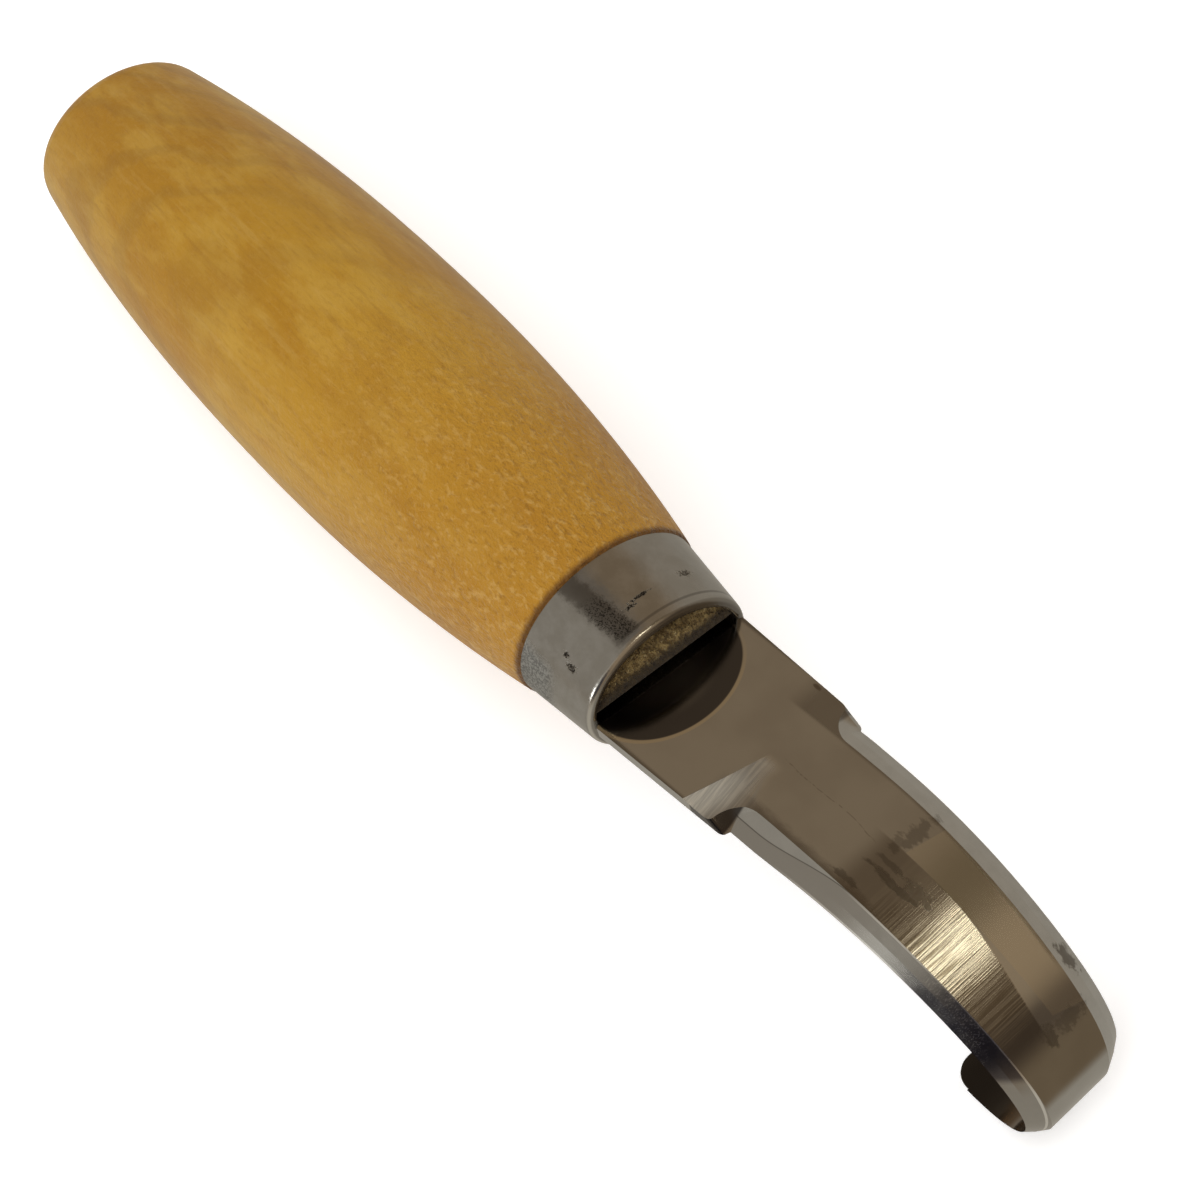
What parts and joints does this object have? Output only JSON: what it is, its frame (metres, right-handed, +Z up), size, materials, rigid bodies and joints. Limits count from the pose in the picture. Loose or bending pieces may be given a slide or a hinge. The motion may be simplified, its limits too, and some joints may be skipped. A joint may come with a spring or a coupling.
{
  "type": "hook whittling knife",
  "caption": "Hook carving knife: barrel-shaped oval wooden handle, short steel ferrule and a double-edged blade that curls down into a hook.",
  "frame": {"origin": "on the surface the knife lies on, under the middle of its box", "axes": "+X from the butt towards the hook, +Z up, the blade's convex side upward; the knife rests on the hook's back and the butt's lower edge"},
  "size_m": [0.1669, 0.031, 0.0301],
  "materials": {
    "wood": "waxed birch, satin",
    "ferrule_steel": "plated steel, lightly pitted",
    "blade_steel": "polished and cross-brushed carbon steel",
    "resin": "cured resin"
  },
  "bodies": {
    "root": {"handle": "wood", "ferrule": "ferrule_steel", "blade": "blade_steel", "tang_adhesive": "resin"}
  },
  "joints": []
}
